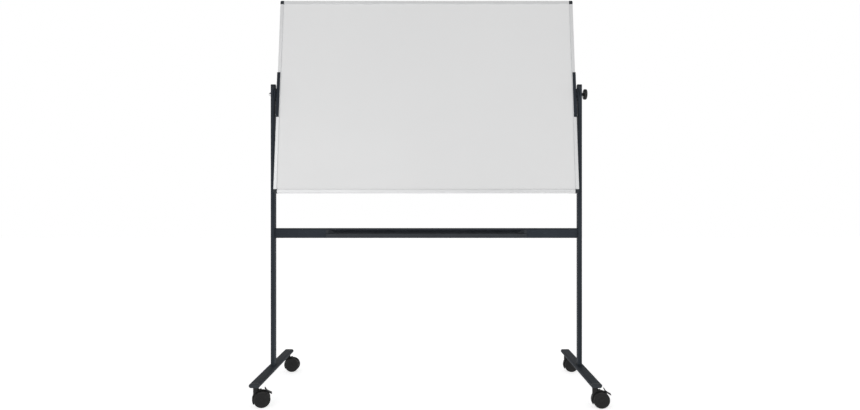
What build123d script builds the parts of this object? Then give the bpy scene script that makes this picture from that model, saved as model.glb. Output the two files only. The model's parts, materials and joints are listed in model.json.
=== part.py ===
from build123d import *
from math import cos, radians, sin
import os

# Rolling whiteboard: a reversible board that turns between two posts on castered feet.
# Millimetres. +X is to the right seen from the front, +Y to the back and +Z up. The origin is on the
# floor, midway between the four casters. The board's tilt and the casters' headings are the rest pose's.

# Board
board_width = 1500.0
board_height = 1000.0
board_depth = 22.0
board_tilt = 8.45  # degrees, the top leans back
pivot_height = 1475.6
board_drop = 4.0  # from the pivot to the board's middle, along the board
frame_face = 16.0
corner_face = 18.5  # the corner caps reach a little past the frame's face
frame_wall = 1.5
frame_lip = 3.0  # from the frame's face to the writing surface
panel_grip = 8.0  # how far the panel reaches into the frame's slot
sheet_thickness = 0.5
core_rail = 40.0
core_rib = 8.0
corner_screw_inset = 9.0
corner_screw_radius = 1.4
corner_screw_length = 6.0

# Side brackets and pivots
bracket_length = 232.0
bracket_overlap = 13.0
bracket_web = 3.0
bracket_lip = 2.5
bracket_screw_heights = (-102.0, -53.0, 53.0, 102.0)
bracket_screw_radius = 2.0
collar_radius = 15.0
disc_radius = 31.5
disc_thickness = 3.0
stud_radius = 5.0
left_stud_reach = 9.0  # beyond the post
right_stud_reach = 19.0
bush_radius = 8.0
knob_radius = 26.2
knob_neck_radius = 8.0
knob_neck_length = 10.5
knob_head_length = 16.0

# Stand: posts, feet and crossbar are one flat-oval tube
tube_long = 50.0
tube_short = 20.0
tube_wall = 2.0
post_x = 770.0
post_top = 1526.0
post_cap_height = 24.0
foot_length = 670.0
foot_top = 115.0
foot_cap_length = 10.0
foot_bolt_spacing = 26.0
bolt_radius = 3.0  # the stand's bolts and the crossbar's screws
bolt_hole_radius = 3.2
crossbar_centre_z = 777.5
crossbar_screw_spacing = 28.0

# Pen tray
tray_length = 1010.0
tray_wall = 1.5
tray_front = -13.0  # the hollow's front and back
tray_back = 6.2
tray_lip_front = -15.0
tray_lip_low = crossbar_centre_z - 19.0
tray_lip_top = crossbar_centre_z - 3.0
tray_bowl_z = crossbar_centre_z - 1.5  # the middle of the hollow's round bottom
tray_top = crossbar_centre_z + 15.5
tray_mouth_round = 16.0
tray_plan_round = 47.0

# Casters
caster_y = 306.0
caster_heading = {  # degrees from +X to the side that the wheels trail towards
    "front_left": 16.0,
    "front_right": -4.0,
    "back_left": -2.0,
    "back_right": -5.0,
}
caster_height = 95.0
flange_thickness = 3.0
flange_radius = 11.0
stem_radius = 5.0
stem_low = 76.5
stem_length = 34.5
thread_insert_radius = 7.0
trail = 26.0
wheel_radius = 37.5
wheel_inner_face = 6.0
wheel_outer_face = 22.0
core_radius = 31.0
hub_ring_radius = 12.0
neck_radius = 13.0
neck_low = 46.5
web_half_width = 5.0
axle_radius = 4.0
fender_outer = 43.5
fender_inner = 39.5
fender_half_width = 12.0
fender_start = 92.0  # degrees around the axle, counted from the trailing side
fender_end = 208.0

# Brake pedals, with points from the axle
pedal_pivot = (20.9, 35.9)
pedal_release_tip = (14.0, 48.0)
pedal_press_tip = (41.3, 23.8)
pedal_travel = 15.0  # degrees
pedal_half_width = 11.0
pedal_thickness = 4.6
trunnion_radius = 2.0
ear_radius = 4.0
ear_start = 60.0

# Fits
running = 0.05  # radial clearance of a shaft in its bore
gap = 0.3  # between pieces that move past each other
push_fit = 0.2  # around a block or a tongue that sits inside a tube
small_chamfer = 0.8

# Worked out from the above
half_width = board_width / 2
half_height = board_height / 2
half_depth = board_depth / 2
panel_half_width = half_width - frame_face + panel_grip
panel_half_height = half_height - frame_face + panel_grip
panel_half_depth = half_depth - frame_lip
slot_floor = frame_face - panel_grip  # from the frame's outer side
post_inner_x = post_x - tube_short / 2
post_outer_x = post_x + tube_short / 2
bracket_outer_x = half_width + bracket_web
disc_inner_x = post_inner_x - disc_thickness
foot_bottom = foot_top - tube_short
foot_middle_z = foot_top - tube_short / 2
crossbar_front = -tube_short / 2
tray_middle = (tray_front + tray_back) / 2
tray_bowl_radius = (tray_back - tray_front) / 2
tilt = radians(board_tilt)
floor_frame = Plane.XY
pivot_frame = Plane(origin=(0, 0, pivot_height), x_dir=(1, 0, 0), z_dir=(0, sin(tilt), cos(tilt)))
board_frame = Plane(
    origin=pivot_frame.from_local_coords((0, 0, -board_drop)), x_dir=(1, 0, 0), z_dir=pivot_frame.z_dir
)
sides = {"left": -1, "right": 1}


def facing_x(frame, x=0.0, y=0.0, z=0.0):
    """The plane through a point of the frame, across the frame's X. Its x is the frame's Y."""
    return Plane(origin=frame.from_local_coords((x, y, z)), x_dir=frame.y_dir, z_dir=frame.x_dir)


def facing_front(frame, x=0.0, y=0.0, z=0.0):
    """The plane through a point of the frame, with its normal along the frame's -Y."""
    return Plane(origin=frame.from_local_coords((x, y, z)), x_dir=frame.x_dir, z_dir=-frame.y_dir)


def facing_up(frame, x=0.0, y=0.0, z=0.0):
    """The plane through a point of the frame, with its normal along the frame's Z."""
    return Plane(origin=frame.from_local_coords((x, y, z)), x_dir=frame.x_dir, z_dir=frame.z_dir)


def save(piece, name):
    """Labels a finished piece and writes it to its own file."""
    piece.part.label = name
    export_step(piece.part, f"parts/{name}.step")


# ---------------------------------------------------------------- stand

def oval_section(plane, inset, rotation=0.0):
    """The stand's flat-oval outline, drawn inset from the tube's outside."""
    with BuildSketch(plane) as section:
        SlotOverall(tube_long - 2 * inset, tube_short - 2 * inset, rotation=rotation)
    return section.sketch


def tube_section(plane, rotation=0.0):
    """The stand's flat-oval tube, cut across."""
    with BuildSketch(plane) as section:
        SlotOverall(tube_long, tube_short, rotation=rotation)
        bore = (tube_long - 2 * tube_wall, tube_short - 2 * tube_wall)
        SlotOverall(*bore, rotation=rotation, mode=Mode.SUBTRACT)
    return section.sketch


def make_post(side, name):
    """An upright tube with a hole for the pivot and two for the crossbar's screws."""
    with BuildPart() as post:
        extrude(
            tube_section(facing_up(floor_frame, x=side * post_x, z=foot_top), 90.0),
            amount=post_top - post_cap_height - foot_top,
        )
        with BuildSketch(facing_x(floor_frame, x=side * post_x)):
            with Locations((0, pivot_height)):
                Circle(bush_radius + running)
            with Locations((0, crossbar_centre_z)):
                with GridLocations(0, crossbar_screw_spacing, 1, 2):
                    Circle(bolt_hole_radius)
        extrude(amount=tube_short, both=True, mode=Mode.SUBTRACT)
    save(post, name)


def make_post_caps():
    """Moulded plugs that close the posts' tops, rounded at the front and the back."""
    plug_depth = 18.0
    round_radius = 23.5
    plug_gap = 0.3
    seat = post_top - post_cap_height
    with BuildPart() as caps:
        for side in sides.values():
            crown = oval_section(facing_up(floor_frame, x=side * post_x, z=seat), 0.0, 90.0)
            extrude(crown, amount=post_cap_height)
        with BuildSketch(facing_x(floor_frame, z=seat)):
            with Locations((0, post_cap_height)):
                outline = (tube_long, 2 * post_cap_height)
                RectangleRounded(*outline, round_radius, align=(Align.CENTER, Align.MAX))
        extrude(amount=post_outer_x, both=True, mode=Mode.INTERSECT)
        for side in sides.values():
            plug = oval_section(facing_up(floor_frame, x=side * post_x, z=seat), tube_wall + plug_gap, 90.0)
            extrude(plug, amount=-plug_depth)
    save(caps, "post_caps")


def make_foot(side, name):
    """A flat tube from front to back, drilled for the post's bolts and the casters' thread inserts."""
    tube_length = foot_length - 2 * foot_cap_length
    with BuildPart() as foot:
        middle = facing_front(floor_frame, x=side * post_x, z=foot_middle_z)
        extrude(tube_section(middle), amount=tube_length / 2, both=True)
        with BuildSketch(facing_up(floor_frame, x=side * post_x, z=foot_bottom)):
            with GridLocations(0, foot_bolt_spacing, 1, 2):
                Circle(bolt_hole_radius)
        extrude(amount=tube_short, mode=Mode.SUBTRACT)
        with BuildSketch(facing_up(floor_frame, x=side * post_x, z=foot_bottom)):
            with GridLocations(0, 2 * caster_y, 1, 2):
                Circle(thread_insert_radius + running)
        extrude(amount=tube_wall, mode=Mode.SUBTRACT)
    save(foot, name)


def make_foot_end_caps():
    """Moulded ends that carry on the feet's section, each with a plug inside the tube."""
    plug_length = 8.0
    plug_gap = 0.3
    with BuildPart() as caps:
        for side in sides.values():
            for end in (-1, 1):
                seat = end * (foot_length / 2 - foot_cap_length)
                plane = facing_front(floor_frame, x=side * post_x, y=seat, z=foot_middle_z)
                extrude(oval_section(plane, 0.0), amount=-end * foot_cap_length)
                extrude(oval_section(plane, tube_wall + plug_gap), amount=end * plug_length)
        outer_faces = caps.faces().sort_by(Axis.Y)
        chamfer((outer_faces[:2] + outer_faces[-2:]).edges(), small_chamfer)
    save(caps, "foot_end_caps")


def make_post_base_inserts():
    """Blocks in the posts' lower ends that take the bolts from below the feet."""
    block_height = 35.0
    with BuildPart() as inserts:
        for side in sides.values():
            plane = facing_up(floor_frame, x=side * post_x, z=foot_top)
            extrude(oval_section(plane, tube_wall + push_fit, 90.0), amount=block_height)
        with BuildSketch(facing_up(floor_frame, z=foot_top)):
            with GridLocations(2 * post_x, foot_bolt_spacing, 2, 2):
                Circle(bolt_radius + running)
        extrude(amount=block_height, mode=Mode.SUBTRACT)
    save(inserts, "post_base_inserts")


def make_foot_bolts():
    """Hexagon-socket bolts that hold the posts on the feet."""
    head_radius = 5.0
    head_height = 5.0
    socket_radius = 2.5
    socket_depth = 3.0
    thread_reach = 30.0
    with BuildPart() as bolts:
        with BuildSketch(facing_up(floor_frame, z=foot_bottom)):
            with GridLocations(2 * post_x, foot_bolt_spacing, 2, 2):
                Circle(head_radius)
        extrude(amount=-head_height)
        with BuildSketch(facing_up(floor_frame, z=foot_bottom)):
            with GridLocations(2 * post_x, foot_bolt_spacing, 2, 2):
                Circle(bolt_radius)
        extrude(amount=tube_short + thread_reach)
        with BuildSketch(facing_up(floor_frame, z=foot_bottom - head_height)):
            with GridLocations(2 * post_x, foot_bolt_spacing, 2, 2):
                RegularPolygon(socket_radius, 6)
        extrude(amount=socket_depth, mode=Mode.SUBTRACT)
    save(bolts, "foot_bolts")


# ---------------------------------------------------------------- crossbar and pen tray

def tray_section(margin):
    """The pen hollow in the YZ plane, grown by a margin: a roof that curves down to a round bowl."""
    roof_start = crossbar_front + 0.6
    roof_middle = (2.2 + 0.75 * margin, crossbar_centre_z + 10.0 + 0.66 * margin)
    with BuildSketch(facing_x(floor_frame)) as section:
        with BuildLine():
            top = Line((tray_front - margin, tray_top + margin), (roof_start, tray_top + margin))
            roof = ThreePointArc(top @ 1, roof_middle, (tray_back + margin, tray_bowl_z))
            belly = (tray_middle, tray_bowl_z - tray_bowl_radius - margin)
            bowl = ThreePointArc(roof @ 1, belly, (tray_front - margin, tray_bowl_z))
            Line(bowl @ 1, top @ 0)
        make_face()
    return section.sketch


def make_crossbar():
    """The tube between the posts, with a long slot in its front wall for the pen tray."""
    slot_low = tray_bowl_z - tray_bowl_radius - tray_wall - gap
    slot_high = tray_top + tray_wall + gap
    slot_back = -4.0
    with BuildPart() as crossbar:
        extrude(
            tube_section(facing_x(floor_frame, z=crossbar_centre_z), 90.0), amount=post_inner_x, both=True
        )
        with BuildSketch(facing_front(floor_frame, y=slot_back, z=slot_low)):
            Rectangle(tray_length, slot_high - slot_low, align=(Align.CENTER, Align.MIN))
        extrude(amount=tube_short, mode=Mode.SUBTRACT)
    save(crossbar, "crossbar")


def make_pen_tray():
    """A moulded scoop set into the crossbar, with a raised front lip and rounded ends."""
    mouth_height = 2 * (tray_top - tray_bowl_z + tray_bowl_radius)
    hollow_length = tray_length - 2 * tray_wall
    skirt_round = 2.0
    crest_drop = 1.0
    skirt_middle = skirt_round * (1 - cos(radians(45)))
    with BuildPart() as hollow:
        extrude(tray_section(0.0), amount=hollow_length / 2, both=True)
        with BuildSketch(facing_front(floor_frame, z=tray_top)):
            RectangleRounded(hollow_length, mouth_height, tray_mouth_round, align=(Align.CENTER, Align.MAX))
        extrude(amount=tube_short, both=True, mode=Mode.INTERSECT)
        with BuildSketch(facing_up(floor_frame, y=tray_back, z=tray_lip_low)):
            RectangleRounded(hollow_length, 2 * tube_long, tray_plan_round, align=(Align.CENTER, Align.MAX))
        extrude(amount=tube_long, mode=Mode.INTERSECT)
    with BuildPart() as tray:
        extrude(tray_section(tray_wall), amount=tray_length / 2 - gap, both=True)
        extrude(
            oval_section(facing_x(floor_frame, z=crossbar_centre_z), 0.0, 90.0),
            amount=tray_length / 2,
            both=True,
            mode=Mode.INTERSECT,
        )
        with BuildSketch(facing_x(floor_frame)):
            with BuildLine():
                base = Line((crossbar_front, tray_lip_low), (tray_lip_front + skirt_round, tray_lip_low))
                skirt = ThreePointArc(
                    base @ 1,
                    (tray_lip_front + skirt_middle, tray_lip_low + skirt_middle),
                    (tray_lip_front, tray_lip_low + skirt_round),
                )
                rise = Line(skirt @ 1, (tray_lip_front, tray_lip_top - crest_drop))
                crest_top = ((tray_lip_front + tray_front) / 2, tray_lip_top)
                crest = ThreePointArc(rise @ 1, crest_top, (tray_front, tray_lip_top - crest_drop))
                Polyline(crest @ 1, (crossbar_front, tray_lip_top - crest_drop), base @ 0)
            make_face()
        extrude(amount=tray_length / 2 - gap, both=True)
        add(hollow.part, mode=Mode.SUBTRACT)
    save(tray, "pen_tray")


def make_crossbar_inserts():
    """Threaded blocks inside the crossbar's two ends."""
    block_length = 30.0
    with BuildPart() as inserts:
        for side in sides.values():
            inner_end = side * (post_inner_x - block_length)
            plane = facing_x(floor_frame, x=inner_end, z=crossbar_centre_z)
            extrude(oval_section(plane, tube_wall + push_fit, 90.0), amount=side * block_length)
        with BuildSketch(facing_x(floor_frame, z=crossbar_centre_z)):
            with GridLocations(0, crossbar_screw_spacing, 1, 2):
                Circle(bolt_radius + running)
        extrude(amount=post_x, both=True, mode=Mode.SUBTRACT)
    save(inserts, "crossbar_inserts")


def make_crossbar_screws():
    """Low-head screws through the posts into the crossbar's inserts."""
    head_radius = 5.5
    head_height = 2.0
    socket_radius = 2.2
    socket_depth = 1.4
    thread_reach = 25.0
    with BuildPart() as screws:
        for side in sides.values():
            seat = side * post_outer_x
            with BuildSketch(facing_x(floor_frame, x=seat, z=crossbar_centre_z)):
                with GridLocations(0, crossbar_screw_spacing, 1, 2):
                    Circle(head_radius)
            extrude(amount=side * head_height)
            with BuildSketch(facing_x(floor_frame, x=seat, z=crossbar_centre_z)):
                with GridLocations(0, crossbar_screw_spacing, 1, 2):
                    Circle(bolt_radius)
            extrude(amount=-side * (tube_short + thread_reach))
            with BuildSketch(facing_x(floor_frame, x=seat + side * head_height, z=crossbar_centre_z)):
                with GridLocations(0, crossbar_screw_spacing, 1, 2):
                    RegularPolygon(socket_radius, 6)
            extrude(amount=-side * socket_depth, mode=Mode.SUBTRACT)
    save(screws, "crossbar_screws")


# ---------------------------------------------------------------- pivots

def make_friction_discs():
    """Round plates on the posts' inner faces that the brackets' collars are clamped against."""
    with BuildPart() as discs:
        for side in sides.values():
            with BuildSketch(facing_x(floor_frame, x=side * disc_inner_x, z=pivot_height)):
                Circle(disc_radius)
                Circle(bush_radius + running, mode=Mode.SUBTRACT)
            extrude(amount=side * disc_thickness)
        rims = discs.edges().filter_by(GeomType.CIRCLE).filter_by(lambda edge: edge.radius > bush_radius + 1)
        chamfer(rims.group_by(SortBy.DISTANCE)[0], small_chamfer)
    save(discs, "friction_discs")


def make_pivot_bushes():
    """Plain bearing sleeves that carry the board's studs through the discs and the posts."""
    with BuildPart() as bushes:
        for side in sides.values():
            with BuildSketch(facing_x(floor_frame, x=side * disc_inner_x, z=pivot_height)):
                Circle(bush_radius)
                Circle(stud_radius + running, mode=Mode.SUBTRACT)
            extrude(amount=side * (post_outer_x - disc_inner_x))
    save(bushes, "pivot_bushes")


def make_stud(side, reach, name):
    """A shouldered stud welded to a bracket: a collar against the disc and a shank through the post."""
    with BuildPart() as stud:
        with BuildSketch(facing_x(pivot_frame, x=side * bracket_outer_x)):
            Circle(collar_radius)
        extrude(amount=side * (disc_inner_x - push_fit - bracket_outer_x))
        with BuildSketch(facing_x(pivot_frame, x=side * half_width)):
            Circle(stud_radius)
        extrude(amount=side * (reach - half_width))
    save(stud, name)


def make_dome_nut():
    """The closed nut that ends the left pivot."""
    across_flats = 17.0
    hex_height = 7.0
    dome_height = 5.5
    thread_depth = 9.0
    edge_round = 1.0
    seat = -(post_outer_x + push_fit)
    with BuildPart() as nut:
        with BuildSketch(facing_x(pivot_frame, x=seat)):
            RegularPolygon(across_flats / 2, 6, major_radius=False)
        extrude(amount=-hex_height)
        with BuildSketch(facing_x(pivot_frame, x=seat - hex_height)):
            Circle(across_flats / 2 - edge_round)
        extrude(amount=-dome_height)
        fillet(nut.edges().group_by(Axis.X)[0], dome_height - edge_round)
        with BuildSketch(facing_x(pivot_frame, x=seat)):
            Circle(stud_radius + running)
        extrude(amount=-thread_depth, mode=Mode.SUBTRACT)
    save(nut, "left_dome_nut")


def make_clamp_knob():
    """The round grip that clamps the right pivot, with finger flutes, and its brass thread insert."""
    insert_radius = 6.7
    insert_length = 20.0
    seat = post_outer_x + gap
    head_start = post_outer_x + knob_neck_length
    flute_radius = 2.6
    flute_outset = 1.4
    flute_count = 16
    head_round = 5.0
    neck_sunk = 1.0
    with BuildPart() as knob:
        with BuildSketch(facing_x(pivot_frame, x=head_start)):
            Circle(knob_radius)
        extrude(amount=knob_head_length)
        fillet(knob.edges().filter_by(GeomType.CIRCLE), head_round)
        with BuildSketch(facing_x(pivot_frame, x=head_start)):
            with PolarLocations(knob_radius + flute_outset, flute_count):
                Circle(flute_radius)
        extrude(amount=knob_head_length, mode=Mode.SUBTRACT)
        with BuildSketch(facing_x(pivot_frame, x=seat)):
            Circle(knob_neck_radius)
        extrude(amount=knob_neck_length + neck_sunk)
        with BuildSketch(facing_x(pivot_frame, x=seat)):
            Circle(insert_radius)
        extrude(amount=insert_length, mode=Mode.SUBTRACT)
    save(knob, "clamp_knob")
    with BuildPart() as insert:
        with BuildSketch(facing_x(pivot_frame, x=seat)):
            Circle(insert_radius)
            Circle(stud_radius + running, mode=Mode.SUBTRACT)
        extrude(amount=insert_length)
    save(insert, "knob_insert")


# ---------------------------------------------------------------- board

def rail_section(plane, inward):
    """The frame's section, drawn from its outer side: a closed chamber and a slot for the panel."""
    align = (Align.CENTER, Align.MIN) if inward > 0 else (Align.CENTER, Align.MAX)
    chamber_depth = slot_floor - 2 * frame_wall
    outer_round = 1.5
    with BuildSketch(plane) as section:
        Rectangle(board_depth, frame_face, align=align)
        fillet(section.vertices().sort_by_distance(plane.from_local_coords((0, 0, 0)))[:2], outer_round)
        with Locations((0, inward * frame_wall)):
            Rectangle(board_depth - 2 * frame_wall, chamber_depth, align=align, mode=Mode.SUBTRACT)
        with Locations((0, inward * slot_floor)):
            Rectangle(2 * panel_half_depth, panel_grip, align=align, mode=Mode.SUBTRACT)
    return section.sketch


def make_long_rail(end, name):
    """The top or the bottom rail, between the corner caps."""
    length = board_width - 2 * corner_face
    with BuildPart() as rail:
        plane = facing_x(board_frame, z=end * half_height)
        extrude(rail_section(plane, -end), amount=length / 2, both=True)
        with BuildSketch(facing_up(board_frame, z=end * half_height)):
            with GridLocations(length - 2 * corner_screw_inset, 0, 2, 1):
                Circle(corner_screw_radius + 2 * push_fit)
        extrude(amount=-end * frame_wall, mode=Mode.SUBTRACT)
    save(rail, name)


def make_side_rail(side, name):
    """The left or the right rail, between the corner caps."""
    length = board_height - 2 * corner_face
    outer = side * half_width
    plane = Plane(
        origin=board_frame.from_local_coords((outer, 0, 0)), x_dir=board_frame.y_dir, z_dir=-board_frame.z_dir
    )
    with BuildPart() as rail:
        extrude(rail_section(plane, -side), amount=length / 2, both=True)
        with BuildSketch(facing_x(board_frame, x=outer)):
            with GridLocations(0, length - 2 * corner_screw_inset, 1, 2):
                Circle(corner_screw_radius + 2 * push_fit)
            with Locations(*[(0, height) for height in bracket_screw_heights]):
                Circle(bracket_screw_radius + running)
            with Locations((0, board_drop)):
                Circle(stud_radius + running)
        extrude(amount=-side * frame_wall, mode=Mode.SUBTRACT)
        with BuildSketch(facing_x(board_frame, x=side * (half_width - slot_floor))):
            with Locations(*[(0, height) for height in bracket_screw_heights]):
                Circle(bracket_screw_radius + running)
        extrude(amount=side * frame_wall, mode=Mode.SUBTRACT)
    save(rail, name)


def make_corner_caps():
    """Moulded corners of the frame, each with a tongue inside either rail."""
    corner_round = 6.0
    tongue_length = 22.0
    tongue_width = slot_floor - 2 * frame_wall - 2 * push_fit
    tongue_middle = slot_floor / 2
    tongue_depth = board_depth - 2 * frame_wall - 2 * push_fit
    thread_bore = corner_screw_radius + running
    with BuildPart() as caps:
        with BuildSketch(facing_front(board_frame)):
            RectangleRounded(board_width, board_height, corner_round)
        extrude(amount=half_depth, both=True)
        with BuildSketch(facing_front(board_frame)):
            Rectangle(board_width - 2 * corner_face, 2 * board_height)
            Rectangle(2 * board_width, board_height - 2 * corner_face)
        extrude(amount=half_depth, both=True, mode=Mode.SUBTRACT)
        with BuildSketch(facing_front(board_frame)):
            Rectangle(2 * panel_half_width + 2 * push_fit, 2 * panel_half_height + 2 * push_fit)
        extrude(amount=panel_half_depth, both=True, mode=Mode.SUBTRACT)
        with BuildSketch(facing_front(board_frame)):
            across = board_width - 2 * corner_face - tongue_length
            with GridLocations(across, board_height - 2 * tongue_middle, 2, 2):
                Rectangle(tongue_length, tongue_width)
            up = board_height - 2 * corner_face - tongue_length
            with GridLocations(board_width - 2 * tongue_middle, up, 2, 2):
                Rectangle(tongue_width, tongue_length)
        extrude(amount=tongue_depth / 2, both=True)
        length = board_width - 2 * corner_face - 2 * corner_screw_inset
        with BuildSketch(facing_up(board_frame)):
            with GridLocations(length, 0, 2, 1):
                Circle(thread_bore)
        extrude(amount=half_height, both=True, mode=Mode.SUBTRACT)
        height = board_height - 2 * corner_face - 2 * corner_screw_inset
        with BuildSketch(facing_x(board_frame)):
            with GridLocations(0, height, 1, 2):
                Circle(thread_bore)
        extrude(amount=half_width, both=True, mode=Mode.SUBTRACT)
    save(caps, "corner_caps")


def make_corner_screws():
    """Small headless screws that hold the corner caps' tongues in the rails."""
    length = board_width - 2 * corner_face - 2 * corner_screw_inset
    height = board_height - 2 * corner_face - 2 * corner_screw_inset
    with BuildPart() as screws:
        for end in (-1, 1):
            with BuildSketch(facing_up(board_frame, z=end * half_height)):
                with GridLocations(length, 0, 2, 1):
                    Circle(corner_screw_radius)
            extrude(amount=-end * corner_screw_length)
            with BuildSketch(facing_x(board_frame, x=end * half_width)):
                with GridLocations(0, height, 1, 2):
                    Circle(corner_screw_radius)
            extrude(amount=-end * corner_screw_length)
    save(screws, "corner_screws")


def make_panel_core():
    """The panel's light core: a rim with crossed ribs between the two sheets."""
    cells_across = 10
    cells_up = 7
    width = 2 * panel_half_width
    height = 2 * panel_half_height
    pitch_x = (width - 2 * core_rail + core_rib) / cells_across
    pitch_z = (height - 2 * core_rail + core_rib) / cells_up
    with BuildPart() as core:
        with BuildSketch(facing_front(board_frame)):
            Rectangle(width, height)
            with GridLocations(pitch_x, pitch_z, cells_across, cells_up):
                Rectangle(pitch_x - core_rib, pitch_z - core_rib, mode=Mode.SUBTRACT)
        extrude(amount=panel_half_depth - sheet_thickness, both=True)
    save(core, "panel_core")


def make_writing_sheet(face, name):
    """An enamelled steel sheet on the front or the rear of the core."""
    with BuildPart() as sheet:
        with BuildSketch(facing_front(board_frame, y=-face * panel_half_depth)):
            Rectangle(2 * panel_half_width, 2 * panel_half_height)
        extrude(amount=-face * sheet_thickness)
    save(sheet, name)


def make_bracket(side, name):
    """A folded channel that clasps a side rail around the pivot."""
    fold_round = 2.0
    with BuildPart() as bracket:
        with BuildSketch(facing_up(board_frame, z=-bracket_length / 2)):
            web_middle = side * (half_width + (bracket_web - bracket_overlap) / 2)
            with Locations((web_middle, 0)):
                Rectangle(bracket_overlap + bracket_web, board_depth + 2 * bracket_lip)
            with Locations((side * (half_width - bracket_overlap), 0)):
                Rectangle(2 * bracket_overlap, board_depth, mode=Mode.SUBTRACT)
        extrude(amount=bracket_length)
        folds = bracket.edges().filter_by(Axis((0, 0, 0), board_frame.z_dir)).sort_by(Axis.X)
        outer_folds = folds[-2:] if side > 0 else folds[:2]
        fillet(outer_folds, fold_round)
        with BuildSketch(facing_x(board_frame, x=side * half_width)):
            with Locations(*[(0, height) for height in bracket_screw_heights]):
                Circle(bracket_screw_radius + push_fit)
            with Locations((0, board_drop)):
                Circle(stud_radius + running)
        extrude(amount=side * bracket_web, mode=Mode.SUBTRACT)
    save(bracket, name)


def make_bracket_screws():
    """Pan-head screws that hold the brackets on the side rails."""
    points = [(0, height) for height in bracket_screw_heights]
    head_radius = 4.2
    head_height = 2.4
    cross_length = 4.4
    cross_width = 0.9
    cross_depth = 1.1
    tip_room = 1.0
    with BuildPart() as screws:
        for side in sides.values():
            seat = side * bracket_outer_x
            with BuildSketch(facing_x(board_frame, x=seat)):
                with Locations(*points):
                    Circle(head_radius)
            extrude(amount=side * head_height)
            with BuildSketch(facing_x(board_frame, x=seat)):
                with Locations(*points):
                    Circle(bracket_screw_radius)
            extrude(amount=-side * (bracket_web + slot_floor - tip_room))
            with BuildSketch(facing_x(board_frame, x=seat + side * head_height)):
                with Locations(*points):
                    Rectangle(cross_length, cross_width)
                    Rectangle(cross_width, cross_length)
            extrude(amount=-side * cross_depth, mode=Mode.SUBTRACT)
    save(screws, "bracket_screws")


# ---------------------------------------------------------------- casters

def caster_frame(corner):
    """The caster's own frame: its swivel axis is Z and its wheels trail along its X."""
    end, side = corner.split("_")
    heading = radians(caster_heading[corner])
    y = -caster_y if end == "front" else caster_y
    return Plane(
        origin=(sides[side] * post_x, y, 0), x_dir=(cos(heading), sin(heading), 0), z_dir=(0, 0, 1)
    )


def make_caster_stems():
    """Plain swivel stems with a flange, screwed into the feet."""
    with BuildPart() as stems:
        with BuildSketch(facing_up(floor_frame, z=stem_low)):
            with GridLocations(2 * post_x, 2 * caster_y, 2, 2):
                Circle(stem_radius)
        extrude(amount=stem_length)
        with BuildSketch(facing_up(floor_frame, z=caster_height - flange_thickness)):
            with GridLocations(2 * post_x, 2 * caster_y, 2, 2):
                Circle(flange_radius)
        extrude(amount=flange_thickness)
    save(stems, "caster_stems")


def make_thread_inserts():
    """Rivet nuts in the feet's lower walls that take the casters' stems."""
    barrel_length = 16.5
    collar_radius = 9.0
    collar_height = 3.0
    with BuildPart() as inserts:
        with BuildSketch(facing_up(floor_frame, z=foot_bottom)):
            with GridLocations(2 * post_x, 2 * caster_y, 2, 2):
                Circle(thread_insert_radius)
                Circle(stem_radius + running, mode=Mode.SUBTRACT)
        extrude(amount=barrel_length)
        with BuildSketch(facing_up(floor_frame, z=foot_bottom + tube_wall)):
            with GridLocations(2 * post_x, 2 * caster_y, 2, 2):
                Circle(collar_radius)
                Circle(stem_radius + running, mode=Mode.SUBTRACT)
        extrude(amount=collar_height)
    save(inserts, "caster_thread_inserts")


def sector(frame, inner, outer, start, end):
    """A ring sector about the axle, in the caster's upright plane."""
    axle = (trail, wheel_radius)
    with BuildSketch(facing_front(frame)) as shape:
        with BuildLine():
            outside = CenterArc(axle, outer, start, end - start)
            inside = CenterArc(axle, inner, start, end - start)
            Line(outside @ 0, inside @ 0)
            Line(outside @ 1, inside @ 1)
        make_face()
    return shape.sketch


def make_housing(corner, braked):
    """The moulded body of a twin-wheel caster: a neck, a web between the wheels and a curved fender."""
    frame = caster_frame(corner)
    neck_top = caster_height - flange_thickness - gap
    axle = Vector(trail, wheel_radius)
    end_angle = radians(fender_end)
    fender_tip = axle + Vector(cos(end_angle), sin(end_angle)) * (fender_outer + fender_inner) / 2
    ear = axle + Vector(*pedal_pivot)
    web_outer = fender_inner + 1.0
    web_inner = 6.0
    with BuildPart() as housing:
        with BuildSketch(facing_up(frame, z=neck_low)):
            Circle(neck_radius)
        extrude(amount=neck_top - neck_low)
        with BuildSketch(facing_front(frame)):
            with Locations(axle):
                Circle(fender_inner)
        extrude(amount=neck_radius, both=True, mode=Mode.SUBTRACT)
        fender = sector(frame, fender_inner, fender_outer, fender_start, fender_end)
        extrude(fender, amount=fender_half_width, both=True)
        with BuildSketch(facing_front(frame)):
            with Locations(fender_tip):
                Circle((fender_outer - fender_inner) / 2)
        extrude(amount=fender_half_width, both=True)
        web = sector(frame, web_inner, web_outer, ear_start if braked else fender_start, fender_end)
        extrude(web, amount=web_half_width, both=True)
        with BuildSketch(facing_front(frame)):
            with Locations(axle):
                Circle(hub_ring_radius)
        extrude(amount=web_half_width, both=True)
        if braked:
            with BuildSketch(facing_front(frame)):
                with Locations(ear):
                    Circle(ear_radius)
            extrude(amount=web_half_width, both=True)
            with BuildSketch(facing_front(frame)):
                with Locations(ear):
                    Circle(trunnion_radius + running)
            extrude(amount=web_half_width, both=True, mode=Mode.SUBTRACT)
        with BuildSketch(facing_front(frame)):
            with Locations(axle):
                Circle(axle_radius)
        extrude(amount=web_half_width, both=True, mode=Mode.SUBTRACT)
        with BuildSketch(facing_up(frame, z=stem_low - gap)):
            Circle(stem_radius + running)
        extrude(amount=caster_height, mode=Mode.SUBTRACT)
    save(housing, f"{corner}_caster_housing")


def make_axle(corner):
    """The steel pin through a caster's web that carries both wheels."""
    half_length = 18.0
    with BuildPart() as axle:
        with BuildSketch(facing_front(caster_frame(corner))):
            with Locations((trail, wheel_radius)):
                Circle(axle_radius)
        extrude(amount=half_length, both=True)
    save(axle, f"{corner}_caster_axle")


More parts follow.
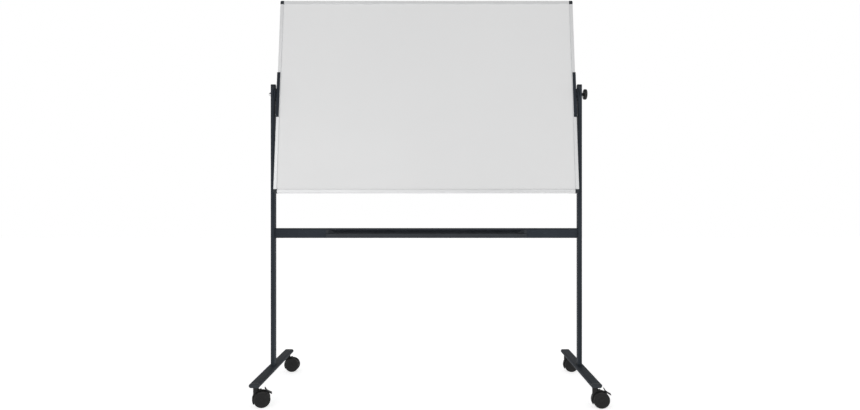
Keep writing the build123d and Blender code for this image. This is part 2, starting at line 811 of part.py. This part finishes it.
def make_wheel(corner, face, word):
    """One wheel of a caster: a core with a blind bore and a hub ring, and its tyre."""
    frame = caster_frame(corner)
    axle = (trail, wheel_radius)
    inner = facing_front(frame, y=face * wheel_inner_face)
    outer = facing_front(frame, y=face * wheel_outer_face)
    ring_groove = 0.6
    groove_depth = 0.8
    rim_wall = 5.0
    hub_wall = hub_ring_radius - 2.0
    dish_depth = 10.0
    bore_depth = 12.5
    tread_inset = 0.5
    tread_round = 3.0
    with BuildPart() as wheel:
        with BuildSketch(inner):
            with Locations(axle):
                Circle(core_radius)
        extrude(amount=-face * (wheel_outer_face - wheel_inner_face))
        with BuildSketch(outer):
            with Locations(axle):
                Circle(hub_ring_radius + ring_groove)
                Circle(hub_ring_radius - ring_groove, mode=Mode.SUBTRACT)
        extrude(amount=face * groove_depth, mode=Mode.SUBTRACT)
        with BuildSketch(inner):
            with Locations(axle):
                Circle(core_radius - rim_wall)
                Circle(hub_wall, mode=Mode.SUBTRACT)
        extrude(amount=-face * dish_depth, mode=Mode.SUBTRACT)
        with BuildSketch(inner):
            with Locations(axle):
                Circle(axle_radius + running)
        extrude(amount=-face * bore_depth, mode=Mode.SUBTRACT)
    save(wheel, f"{corner}_{word}_wheel")
    with BuildPart() as tyre:
        with BuildSketch(facing_front(frame, y=face * (wheel_inner_face + tread_inset))):
            with Locations(axle):
                Circle(wheel_radius)
                Circle(core_radius, mode=Mode.SUBTRACT)
        extrude(amount=-face * (wheel_outer_face - wheel_inner_face - 2 * tread_inset))
        treads = tyre.edges().filter_by(GeomType.CIRCLE).filter_by(lambda edge: edge.radius > core_radius + 1)
        fillet(treads, tread_round)
    save(tyre, f"{corner}_{word}_tyre")


def make_brake_pedal(corner):
    """A rocking pedal with a press arm, a release arm, a brake nose and its own trunnion."""
    frame = caster_frame(corner)
    axle = Vector(trail, wheel_radius)
    pivot = axle + Vector(*pedal_pivot)
    release = axle + Vector(*pedal_release_tip)
    press = axle + Vector(*pedal_press_tip)
    towards_axle = Vector(-pedal_pivot[0], -pedal_pivot[1]).normalized()
    nose_reach = 2.2
    nose_radius = 1.4
    press_radius = 3.0
    boss_radius = 3.4
    ear_room = 2.3
    web_room = 0.5
    nose = pivot + towards_axle.rotate(Axis.Z, pedal_travel) * nose_reach
    with BuildPart() as pedal:
        with BuildSketch(facing_front(frame)):
            with BuildLine():
                Polyline(release, pivot, press)
            trace(line_width=pedal_thickness)
            with Locations(release):
                Circle(pedal_thickness / 2)
            with Locations(press):
                Circle(press_radius)
            with Locations(pivot):
                Circle(boss_radius)
            with Locations(nose):
                Circle(nose_radius)
        extrude(amount=pedal_half_width, both=True)
        with BuildSketch(facing_front(frame)):
            with Locations(pivot):
                Circle(ear_radius + ear_room)
        extrude(amount=web_half_width + web_room, both=True, mode=Mode.SUBTRACT)
        with BuildSketch(facing_front(frame)):
            with Locations(pivot):
                Circle(trunnion_radius)
        extrude(amount=pedal_half_width, both=True)
    save(pedal, f"{corner}_brake_pedal")


# ---------------------------------------------------------------- all pieces

os.makedirs("parts", exist_ok=True)
for word, side in sides.items():
    make_post(side, f"{word}_post")
    make_foot(side, f"{word}_foot")
    make_side_rail(side, f"{word}_frame_rail")
    make_bracket(side, f"{word}_bracket")
make_post_caps()
make_foot_end_caps()
make_post_base_inserts()
make_foot_bolts()
make_crossbar()
make_pen_tray()
make_crossbar_inserts()
make_crossbar_screws()
make_friction_discs()
make_pivot_bushes()
make_stud(-1, post_outer_x + left_stud_reach, "left_pivot_stud")
make_stud(1, post_outer_x + right_stud_reach, "right_clamp_stud")
make_dome_nut()
make_clamp_knob()
make_long_rail(1, "top_frame_rail")
make_long_rail(-1, "bottom_frame_rail")
make_corner_caps()
make_corner_screws()
make_panel_core()
make_writing_sheet(1, "front_writing_sheet")
make_writing_sheet(-1, "rear_writing_sheet")
make_bracket_screws()
make_caster_stems()
make_thread_inserts()
for corner in caster_heading:
    braked = corner.startswith("front")
    make_housing(corner, braked)
    make_axle(corner)
    make_wheel(corner, -1, "front")
    make_wheel(corner, 1, "rear")
    if braked:
        make_brake_pedal(corner)
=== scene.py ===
import json
import math

import bpy
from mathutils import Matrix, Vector


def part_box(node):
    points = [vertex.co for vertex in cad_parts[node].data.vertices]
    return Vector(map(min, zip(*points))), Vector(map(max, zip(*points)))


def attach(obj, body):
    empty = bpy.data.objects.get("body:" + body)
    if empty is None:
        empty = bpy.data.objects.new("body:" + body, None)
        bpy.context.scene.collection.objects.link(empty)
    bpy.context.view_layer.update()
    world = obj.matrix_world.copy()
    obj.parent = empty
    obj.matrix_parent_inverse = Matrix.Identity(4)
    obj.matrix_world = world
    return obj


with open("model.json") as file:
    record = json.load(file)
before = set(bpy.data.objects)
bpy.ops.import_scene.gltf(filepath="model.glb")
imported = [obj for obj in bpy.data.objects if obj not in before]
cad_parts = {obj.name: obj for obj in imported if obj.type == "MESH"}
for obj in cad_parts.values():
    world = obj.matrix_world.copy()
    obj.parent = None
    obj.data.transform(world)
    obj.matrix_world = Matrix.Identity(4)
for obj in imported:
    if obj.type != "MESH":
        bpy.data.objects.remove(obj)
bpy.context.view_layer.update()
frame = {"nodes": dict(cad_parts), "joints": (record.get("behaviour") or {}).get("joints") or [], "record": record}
nodes = frame["nodes"]
joints = {joint["name"]: joint for joint in frame["joints"]}
corners = ("front_left", "front_right", "back_left", "back_right")
sides = ((1, "front"), (-1, "rear"))
MM = 0.001

# Light: what the room gives from the sides and from above, the floor's own glow, and two lamps
HORIZON_LIGHT = 0.74
CEILING_LIGHT = 0.12
FLOOR_LIFT = 0.60
KEY_POWER = 42.0
FILL_POWER = 22.0


# ---------------------------------------------------------------- materials

class Shader:
    """A Principled material and short ways to add procedural nodes to it."""

    def __init__(self, name):
        self.material = bpy.data.materials.new(name)
        self.material.use_nodes = True
        self.tree = self.material.node_tree
        self.bsdf = self.tree.nodes["Principled BSDF"]
        self.coordinates = self.add("ShaderNodeTexCoord").outputs["Object"]

    def add(self, kind):
        return self.tree.nodes.new(kind)

    def link(self, source, target):
        self.tree.links.new(source, target)

    def stretched(self, stretch):
        mapping = self.add("ShaderNodeMapping")
        mapping.inputs["Scale"].default_value = stretch
        self.link(self.coordinates, mapping.inputs["Vector"])
        return mapping.outputs["Vector"]

    def noise(self, scale, detail=3.0, stretch=(1.0, 1.0, 1.0)):
        node = self.add("ShaderNodeTexNoise")
        node.inputs["Scale"].default_value = scale
        node.inputs["Detail"].default_value = detail
        self.link(self.stretched(stretch), node.inputs["Vector"])
        return node.outputs["Fac"]

    def cells(self, scale, stretch=(1.0, 1.0, 1.0)):
        node = self.add("ShaderNodeTexVoronoi")
        node.inputs["Scale"].default_value = scale
        self.link(self.stretched(stretch), node.inputs["Vector"])
        return node.outputs["Distance"]

    def spread(self, source, low, high, at=(0.3, 0.7)):
        """The source's values between the two of at, spread from low to high."""
        node = self.add("ShaderNodeMapRange")
        node.inputs["From Min"].default_value = at[0]
        node.inputs["From Max"].default_value = at[1]
        node.inputs["To Min"].default_value = low
        node.inputs["To Max"].default_value = high
        self.link(source, node.inputs["Value"])
        return node.outputs["Result"]

    def total(self, first, second):
        node = self.add("ShaderNodeMath")
        node.operation = "ADD"
        self.link(first, node.inputs[0])
        self.link(second, node.inputs[1])
        return node.outputs["Value"]

    def colour(self, factor, low, high):
        """A colour between two fixed ones."""
        node = self.add("ShaderNodeMix")
        node.data_type = "RGBA"
        node.inputs["A"].default_value = (*low, 1.0)
        node.inputs["B"].default_value = (*high, 1.0)
        self.link(factor, node.inputs["Factor"])
        return node.outputs["Result"]

    def blend(self, factor, low, high):
        """A worked-out colour with some of a fixed one mixed in."""
        node = self.add("ShaderNodeMix")
        node.data_type = "RGBA"
        node.inputs["B"].default_value = (*high, 1.0)
        self.link(factor, node.inputs["Factor"])
        self.link(low, node.inputs["A"])
        return node.outputs["Result"]

    def bump(self, height, strength, distance, onto=None):
        node = self.add("ShaderNodeBump")
        node.inputs["Strength"].default_value = strength
        node.inputs["Distance"].default_value = distance
        self.link(height, node.inputs["Height"])
        if onto is not None:
            self.link(onto, node.inputs["Normal"])
        return node.outputs["Normal"]

    def finish(self, colour, roughness, normal, metallic=0.0, specular=0.5, coat=0.0):
        self.link(colour, self.bsdf.inputs["Base Color"])
        self.link(roughness, self.bsdf.inputs["Roughness"])
        self.link(normal, self.bsdf.inputs["Normal"])
        self.bsdf.inputs["Metallic"].default_value = metallic
        self.bsdf.inputs["Specular IOR Level"].default_value = specular
        self.bsdf.inputs["Coat Weight"].default_value = coat
        return self.material


def shade(colour, factor):
    return tuple(min(1.0, channel * factor) for channel in colour)


def powder_coat(name, colour):
    """Satin powder coat: an orange peel, sparse dust and a slight unevenness of sheen."""
    shader = Shader(name)
    broad = shader.noise(scale=3.5, detail=3.0)
    fine = shader.noise(scale=900.0, detail=2.0)
    dust = shader.noise(scale=45.0, detail=5.0)
    uneven = shader.spread(broad, low=0.0, high=1.0)
    dusty = shader.spread(dust, low=0.0, high=0.10, at=(0.58, 0.78))
    tone = shader.colour(uneven, shade(colour, 0.86), shade(colour, 1.14))
    tone = shader.blend(dusty, tone, shade(colour, 3.0))
    broad_sheen = shader.spread(broad, low=0.46, high=0.54)
    fine_sheen = shader.spread(fine, low=-0.03, high=0.05)
    peel = shader.bump(shader.cells(scale=480.0), strength=0.32, distance=0.0006)
    normal = shader.bump(fine, strength=0.25, distance=0.0002, onto=peel)
    return shader.finish(tone, shader.total(broad_sheen, fine_sheen), normal, specular=0.04)


def moulded(name, colour, grain, roughness, specular=0.4):
    """Injection-moulded plastic: spark-eroded grain, faint flow marks and rubbed patches."""
    shader = Shader(name)
    flow = shader.noise(scale=18.0, detail=4.0, stretch=(1.0, 1.0, 2.5))
    spark = shader.cells(scale=grain)
    rubbed = shader.noise(scale=70.0, detail=5.0)
    flowing = shader.spread(flow, low=0.0, high=1.0)
    worn = shader.spread(rubbed, low=0.0, high=0.16, at=(0.6, 0.8))
    tone = shader.colour(flowing, shade(colour, 0.82), shade(colour, 1.18))
    tone = shader.blend(worn, tone, shade(colour, 2.6))
    flow_sheen = shader.spread(flow, low=roughness - 0.04, high=roughness + 0.05)
    rubbed_sheen = shader.spread(rubbed, low=0.04, high=-0.06)
    normal = shader.bump(spark, strength=0.4, distance=0.0004)
    return shader.finish(tone, shader.total(flow_sheen, rubbed_sheen), normal, specular=specular)


def tyre_rubber(name):
    """Grey-black tread: matte, a little dusty, with fine scuffs."""
    shader = Shader(name)
    dust = shader.noise(scale=120.0, detail=6.0)
    scuff = shader.noise(scale=60.0, detail=4.0, stretch=(1.0, 1.0, 6.0))
    dusty = shader.spread(dust, low=0.0, high=1.0, at=(0.45, 0.75))
    tone = shader.colour(dusty, (0.010, 0.010, 0.010), (0.024, 0.023, 0.022))
    rough = shader.spread(scuff, low=0.55, high=0.78)
    grain = shader.noise(scale=1500.0, detail=3.0)
    scuffed = shader.bump(scuff, strength=0.15, distance=0.0006)
    normal = shader.bump(grain, strength=0.35, distance=0.0003, onto=scuffed)
    return shader.finish(tone, rough, normal, specular=0.3)


def anodised(name, along):
    """Satin anodised extrusion: die lines along its length under a soft, even etch."""
    shader = Shader(name)
    lines = shader.noise(scale=1.0, detail=3.0, stretch=along)
    etch = shader.noise(scale=1400.0, detail=2.0)
    cloud = shader.noise(scale=5.0, detail=2.0)
    lined = shader.spread(lines, low=0.0, high=0.7)
    clouded = shader.spread(cloud, low=0.0, high=0.3)
    tone = shader.colour(shader.total(lined, clouded), (0.62, 0.624, 0.628), (0.72, 0.724, 0.728))
    lined_sheen = shader.spread(lines, low=0.34, high=0.46)
    etched_sheen = shader.spread(etch, low=-0.03, high=0.03)
    drawn = shader.bump(lines, strength=0.10, distance=0.0002)
    normal = shader.bump(etch, strength=0.12, distance=0.0001, onto=drawn)
    return shader.finish(tone, shader.total(lined_sheen, etched_sheen), normal, metallic=0.45)


def enamel(name):
    """White vitreous enamel: a long soft ripple, a fine peel and the dull arcs that wiping leaves."""
    shader = Shader(name)
    ripple = shader.noise(scale=22.0, detail=2.0)
    peel = shader.noise(scale=420.0, detail=2.0)
    wiped = shader.noise(scale=2.2, detail=5.0, stretch=(1.0, 1.0, 3.2))
    haze = shader.noise(scale=1.1, detail=4.0, stretch=(1.6, 1.0, 0.7))
    hazy = shader.spread(haze, low=0.0, high=1.0)
    smeared = shader.spread(wiped, low=0.0, high=0.08, at=(0.55, 0.75))
    tone = shader.colour(hazy, (0.688, 0.689, 0.690), (0.699, 0.700, 0.701))
    tone = shader.blend(smeared, tone, (0.645, 0.65, 0.66))
    wiped_sheen = shader.spread(wiped, low=0.30, high=0.40)
    peel_sheen = shader.spread(peel, low=-0.01, high=0.02)
    rippled = shader.bump(ripple, strength=0.06, distance=0.0005)
    normal = shader.bump(peel, strength=0.05, distance=0.0001, onto=rippled)
    return shader.finish(tone, shader.total(wiped_sheen, peel_sheen), normal, specular=0.4, coat=0.1)


def bright_metal(name, colour, roughness):
    """Plated or turned metal with fine tool marks and a slight mottle."""
    shader = Shader(name)
    marks = shader.noise(scale=300.0, detail=3.0, stretch=(1.0, 6.0, 6.0))
    mottle = shader.noise(scale=90.0, detail=4.0)
    mottled = shader.spread(mottle, low=0.0, high=1.0)
    tone = shader.colour(mottled, shade(colour, 0.9), shade(colour, 1.1))
    mottled_sheen = shader.spread(mottle, low=roughness - 0.05, high=roughness + 0.08)
    marked_sheen = shader.spread(marks, low=-0.03, high=0.03)
    normal = shader.bump(marks, strength=0.10, distance=0.0001)
    return shader.finish(tone, shader.total(mottled_sheen, marked_sheen), normal, metallic=1.0)


def fibre_board(name):
    """Pressed honeycomb board for the panel's core."""
    shader = Shader(name)
    fibres = shader.noise(scale=260.0, detail=5.0, stretch=(1.0, 3.0, 1.0))
    tone = shader.colour(shader.spread(fibres, low=0.0, high=1.0), (0.36, 0.26, 0.15), (0.52, 0.40, 0.25))
    rough = shader.spread(fibres, low=0.80, high=0.95)
    return shader.finish(tone, rough, shader.bump(fibres, strength=0.3, distance=0.0004), specular=0.2)


materials = {
    "powder_coat": powder_coat("powder_coat_slate", (0.0262, 0.0312, 0.0382)),
    "moulded_dark": moulded("moulded_slate", (0.020, 0.024, 0.029), 900.0, 0.52, 0.25),
    "caster_plastic": moulded("moulded_caster", (0.0115, 0.0115, 0.0115), 1100.0, 0.50, 0.18),
    "knob_plastic": moulded("moulded_knob", (0.011, 0.011, 0.011), 1000.0, 0.42, 0.25),
    "bush_nylon": moulded("moulded_bush", (0.05, 0.05, 0.05), 1200.0, 0.5),
    "tyre": tyre_rubber("tyre_rubber"),
    "enamel": enamel("white_enamel"),
    "zinc_steel": bright_metal("zinc_plated_steel", (0.62, 0.62, 0.63), 0.26),
    "brass": bright_metal("turned_brass", (0.72, 0.53, 0.24), 0.25),
    "core_board": fibre_board("fibre_board"),
}
rail_across = anodised("anodised_long_rail", (1.5, 900.0, 900.0))
rail_upright = anodised("anodised_side_rail", (900.0, 900.0, 1.5))
slots = {part["node"]: part["material_slot"] for part in frame["record"]["subparts"]}
for name, obj in nodes.items():
    if slots[name] == "anodised_aluminium":
        chosen = rail_across if name in ("top_frame_rail", "bottom_frame_rail") else rail_upright
    else:
        chosen = materials[slots[name]]
    if not obj.material_slots:
        obj.data.materials.append(chosen)
    for place in obj.material_slots:
        place.material = chosen


# ---------------------------------------------------------------- mesh tools

def add_piece(name, shape, slot, body, crease, material=None):
    """A smooth mesh piece, with edges sharper than the crease angle kept crisp, riding on a CAD body."""
    vertices, faces = shape
    mesh = bpy.data.meshes.new(name)
    mesh.from_pydata([tuple(vertex) for vertex in vertices], [], faces)
    mesh.validate()
    mesh.update()
    mesh.materials.append(material or materials[slot])
    for polygon in mesh.polygons:
        polygon.use_smooth = True
    mesh.set_sharp_from_angle(angle=math.radians(crease))
    piece = bpy.data.objects.new(name, mesh)
    bpy.context.scene.collection.objects.link(piece)
    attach(piece, body)


def turned_mesh(centre, axis, profile, segments=48):
    """Vertices and faces of a profile of millimetres (along the axis, radius), turned about the axis."""
    axis = Vector(axis).normalized()
    side = axis.orthogonal().normalized()
    other = axis.cross(side)
    vertices = []
    for along, radius in profile:
        for step in range(segments):
            angle = 2 * math.pi * step / segments
            spoke = side * math.cos(angle) + other * math.sin(angle)
            vertices.append(Vector(centre) + axis * along * MM + spoke * radius * MM)
    faces = []
    for row in range(len(profile) - 1):
        near = row * segments
        far = near + segments
        for step in range(segments):
            after = (step + 1) % segments
            faces.append((near + step, near + after, far + after, far + step))
    last = (len(profile) - 1) * segments
    faces.append(tuple(range(segments))[::-1])
    faces.append(tuple(last + step for step in range(segments)))
    return vertices, faces


def open_ended(shape):
    """A turned shape without its two end faces."""
    vertices, faces = shape
    return vertices, faces[:-2]


def joined(shapes):
    """Several (vertices, faces) shapes as one."""
    vertices, faces = [], []
    for more_vertices, more_faces in shapes:
        start = len(vertices)
        vertices += more_vertices
        faces += [tuple(index + start for index in face) for face in more_faces]
    return vertices, faces


def reach(name, origin, axis):
    """The lowest and highest distance of a node's surface from a point, along an axis."""
    axis = Vector(axis).normalized()
    distances = [(vertex.co - Vector(origin)).dot(axis) for vertex in nodes[name].data.vertices]
    return min(distances), max(distances)


def middle(name):
    low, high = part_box(name)
    return (low + high) / 2


# ---------------------------------------------------------------- board

# Its own middle and directions, and its sizes, from where the rails are
board_middle = (middle("top_frame_rail") + middle("bottom_frame_rail")) / 2
board_up = (middle("top_frame_rail") - middle("bottom_frame_rail")).normalized()
board_right = Vector((1.0, 0.0, 0.0))
board_front = board_right.cross(board_up).normalized()
rail_low, rail_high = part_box("left_frame_rail")
face_width = rail_high.x - rail_low.x
inner_half_width = -rail_high.x
outer_half_height = reach("top_frame_rail", board_middle, board_up)[1]
inner_half_height = outer_half_height - face_width
frame_depth = reach("top_frame_rail", board_middle, board_front)[1]
sheet_front = reach("front_writing_sheet", board_middle, board_front)[1]


def rectangle_sweep(half_across, half_up, section, facing):
    """A closed strip around the board, with a section of (inset, height above the mid-plane)."""
    vertices, faces = [], []
    for inset, height in section:
        for across, up in ((-1, -1), (1, -1), (1, 1), (-1, 1)):
            vertices.append(
                board_middle
                + board_right * across * (half_across - inset)
                + board_up * up * (half_up - inset)
                + board_front * facing * height
            )
    count = len(section)
    for row in range(count):
        below = (row + 1) % count
        for step in range(4):
            after = (step + 1) % 4
            face = (row * 4 + step, row * 4 + after, below * 4 + after, below * 4 + step)
            faces.append(face if facing > 0 else face[::-1])
    return vertices, faces


def straight_strip(start, end, across, outward):
    """A thin rounded ridge between two points on the frame's face."""
    profile = (
        (-0.45, -0.2), (-0.4, 0.12), (-0.2, 0.26), (0.0, 0.3), (0.2, 0.26), (0.4, 0.12), (0.45, -0.2),
    )
    vertices = []
    for place in (start, end):
        for sideways, height in profile:
            vertices.append(place + across * sideways * MM + outward * height * MM)
    count = len(profile)
    faces = []
    for step in range(count - 1):
        faces.append((step, step + 1, count + step + 1, count + step))
    faces.append(tuple(range(count))[::-1])
    faces.append(tuple(range(count, 2 * count)))
    faces.append((count - 1, 0, count, 2 * count - 1))
    return vertices, faces


def add_panel_gaskets():
    """The soft bead between the frame and the writing surface, on both faces."""
    width = 1.2 * MM
    height = 1.0 * MM
    sunk = 0.2 * MM
    arc_steps = 6
    section = [(0.0, sheet_front - sunk)]
    for step in range(arc_steps + 1):
        turn = math.pi / 2 * step / arc_steps
        section.append((width * math.sin(turn), sheet_front + height * math.cos(turn)))
    section.append((width, sheet_front - sunk))
    grey = moulded("moulded_gasket", (0.55, 0.56, 0.57), 1500.0, 0.5)
    for facing, side_name in sides:
        bead = rectangle_sweep(inner_half_width, inner_half_height, section, facing)
        add_piece(f"{side_name}_panel_gasket", bead, "bush_nylon", "board", 35.0, grey)


def add_rail_lines():
    """Two fine ridges along the face of each rail, as the extrusion has."""
    end_room = 0.4 * MM
    insets = (3.2 * MM, face_width - 2.4 * MM)
    half_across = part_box("top_frame_rail")[1].x - end_room
    half_up = reach("left_frame_rail", board_middle, board_up)[1] - end_room
    rails = (
        ("long", board_right, half_across, board_up, outer_half_height, rail_across),
        ("side", board_up, half_up, board_right, inner_half_width + face_width, rail_upright),
    )
    for facing, side_name in sides:
        outward = board_front * facing
        level = board_middle + outward * frame_depth
        for rail_word, along, half_length, across, outer, finish in rails:
            strips = []
            for inset in insets:
                for end in (-1, 1):
                    line = level + across * end * (outer - inset)
                    start, stop = line - along * half_length, line + along * half_length
                    strips.append(straight_strip(start, stop, across, outward))
            name = f"{side_name}_{rail_word}_rail_lines"
            add_piece(name, joined(strips), "anodised_aluminium", "board", 40.0, finish)


add_panel_gaskets()
add_rail_lines()


# ---------------------------------------------------------------- knob and casters

def add_knob_cap():
    """A domed cap in the middle of the clamp knob's outer face."""
    pivot = Vector(joints["board_turn"]["pos_m"])
    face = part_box("clamp_knob")[1].x
    dome = (
        (-0.6, 12.5), (0.25, 12.5), (0.55, 12.1), (0.8, 10.5), (1.1, 7.0), (1.25, 3.5), (1.3, 0.6),
    )
    cap = turned_mesh((face, pivot.y, pivot.z), (1, 0, 0), dome)
    add_piece("knob_centre_cap", cap, "knob_plastic", "knob", 40.0)


def add_dust_ring(corner):
    """A bright washer around the stem, just below the foot."""
    drop = 2.6 * MM
    washer = ((0.0, 11.0), (0.0, 12.4), (0.5, 12.8), (1.9, 12.8), (2.4, 12.4), (2.4, 11.0))
    swivel = Vector(joints[f"{corner}_swivel"]["pos_m"])
    foot_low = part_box("left_foot")[0].z
    ring = turned_mesh((swivel.x, swivel.y, foot_low - drop), (0, 0, 1), washer)
    add_piece(f"{corner}_dust_ring", ring, "zinc_steel", "stand", 40.0)


def add_wheel_cover(corner, word, outward):
    """A low hub cap and a raised line near the rim on a wheel's outer face."""
    hub = ((-0.5, 11.0), (0.15, 11.0), (0.45, 10.6), (0.7, 8.5), (0.85, 5.0), (0.9, 0.5))
    rim = ((-0.3, 27.4), (0.20, 27.5), (0.35, 27.8), (0.35, 29.2), (0.20, 29.5), (-0.3, 29.6))
    joint = joints[f"{corner}_{word}_roll"]
    axle = Vector(joint["pos_m"])
    axis = Vector(joint["axis"]) * outward
    centre = axle + axis * reach(f"{corner}_{word}_wheel", axle, axis)[1]
    cover = joined([turned_mesh(centre, axis, hub), open_ended(turned_mesh(centre, axis, rim, 64))])
    add_piece(f"{corner}_{word}_wheel_cover", cover, "caster_plastic", f"{corner}_{word}_wheel_set", 40.0)


def add_pedal_rivets(corner):
    """Small round heads on both ends of a brake pedal's pin."""
    head = ((-0.4, 2.5), (0.1, 2.5), (0.45, 2.2), (0.7, 1.5), (0.8, 0.3))
    joint = joints[f"{corner}_brake_press"]
    centre = Vector(joint["pos_m"])
    axis = Vector(joint["axis"])
    low, high = reach(f"{corner}_brake_pedal", centre, axis)
    near_head = turned_mesh(centre + axis * high, axis, head, 32)
    far_head = turned_mesh(centre + axis * low, -axis, head, 32)
    add_piece(f"{corner}_pedal_rivets", joined([near_head, far_head]), "powder_coat", f"{corner}_brake", 40.0)


add_knob_cap()
for corner in corners:
    add_dust_ring(corner)
    add_wheel_cover(corner, "front", -1.0)
    add_wheel_cover(corner, "rear", 1.0)
for corner in corners[:2]:
    add_pedal_rivets(corner)


# ---------------------------------------------------------------- room, light and camera

def add_floor():
    """A pale, almost shadowless studio floor."""
    half = 14.0
    shader = Shader("studio_floor")
    grain = shader.noise(scale=60.0, detail=4.0)
    tone = shader.colour(shader.spread(grain, low=0.0, high=1.0), (0.90, 0.90, 0.90), (0.92, 0.92, 0.92))
    rough = shader.spread(grain, low=0.8, high=0.9)
    material = shader.finish(tone, rough, shader.bump(grain, strength=0.05, distance=0.0005), specular=0.1)
    shader.bsdf.inputs["Emission Color"].default_value = (1.0, 1.0, 1.0, 1.0)
    shader.bsdf.inputs["Emission Strength"].default_value = FLOOR_LIFT
    mesh = bpy.data.meshes.new("studio_floor")
    outline = [(-half, -half, 0), (half, -half, 0), (half, half, 0), (-half, half, 0)]
    mesh.from_pydata(outline, [], [(0, 1, 2, 3)])
    mesh.materials.append(material)
    floor = bpy.data.objects.new("studio_floor", mesh)
    bpy.context.scene.collection.objects.link(floor)


def add_room():
    """The world: a white backdrop, and as a light even from the sides and dimmer overhead."""
    world = bpy.data.worlds.new("studio")
    bpy.context.scene.world = world
    world.use_nodes = True
    room_nodes, room_links = world.node_tree.nodes, world.node_tree.links
    background = room_nodes["Background"]
    background.inputs["Color"].default_value = (1.0, 1.0, 1.0, 1.0)
    direction = room_nodes.new("ShaderNodeTexCoord")
    height = room_nodes.new("ShaderNodeSeparateXYZ")
    room_links.new(direction.outputs["Generated"], height.inputs["Vector"])
    falling = room_nodes.new("ShaderNodeMapRange")
    falling.inputs["From Min"].default_value = 0.55
    falling.inputs["From Max"].default_value = 0.95
    falling.inputs["To Min"].default_value = HORIZON_LIGHT
    falling.inputs["To Max"].default_value = CEILING_LIGHT
    room_links.new(height.outputs["Z"], falling.inputs["Value"])
    rays = room_nodes.new("ShaderNodeLightPath")
    strength = room_nodes.new("ShaderNodeMix")
    strength.inputs["B"].default_value = 1.0
    room_links.new(rays.outputs["Is Camera Ray"], strength.inputs["Factor"])
    room_links.new(falling.outputs["Result"], strength.inputs["A"])
    room_links.new(strength.outputs["Result"], background.inputs["Strength"])


def add_area_light(name, place, size, power):
    """A soft lamp that faces the middle of the object."""
    target = Vector((0.0, 0.0, 1.0))
    data = bpy.data.lights.new(name, "AREA")
    data.shape = "RECTANGLE"
    data.size, data.size_y = size
    data.energy = power
    light = bpy.data.objects.new(name, data)
    bpy.context.scene.collection.objects.link(light)
    light.location = place
    light.rotation_euler = (target - Vector(place)).to_track_quat("-Z", "Y").to_euler()


def add_camera():
    """A level camera a little right of the middle, at the height of the board's lower edge."""
    data = bpy.data.cameras.new("camera")
    data.sensor_fit = "HORIZONTAL"
    data.sensor_width = 36.0
    data.lens = 25.84
    data.shift_x = -0.00477
    data.clip_end = 60.0
    camera = bpy.data.objects.new("camera", data)
    bpy.context.scene.collection.objects.link(camera)
    camera.location = (0.0388, -3.1095, 0.9187)
    camera.rotation_euler = (math.radians(90.0), 0.0, 0.0)
    bpy.context.scene.camera = camera


add_floor()
add_room()
add_area_light("key", (-2.0, -4.6, 1.9), (3.5, 3.0), KEY_POWER)
add_area_light("fill", (2.8, -4.2, 1.5), (3.0, 3.0), FILL_POWER)
add_camera()
bpy.context.scene.view_settings.view_transform = "Standard"

bpy.context.view_layer.update()
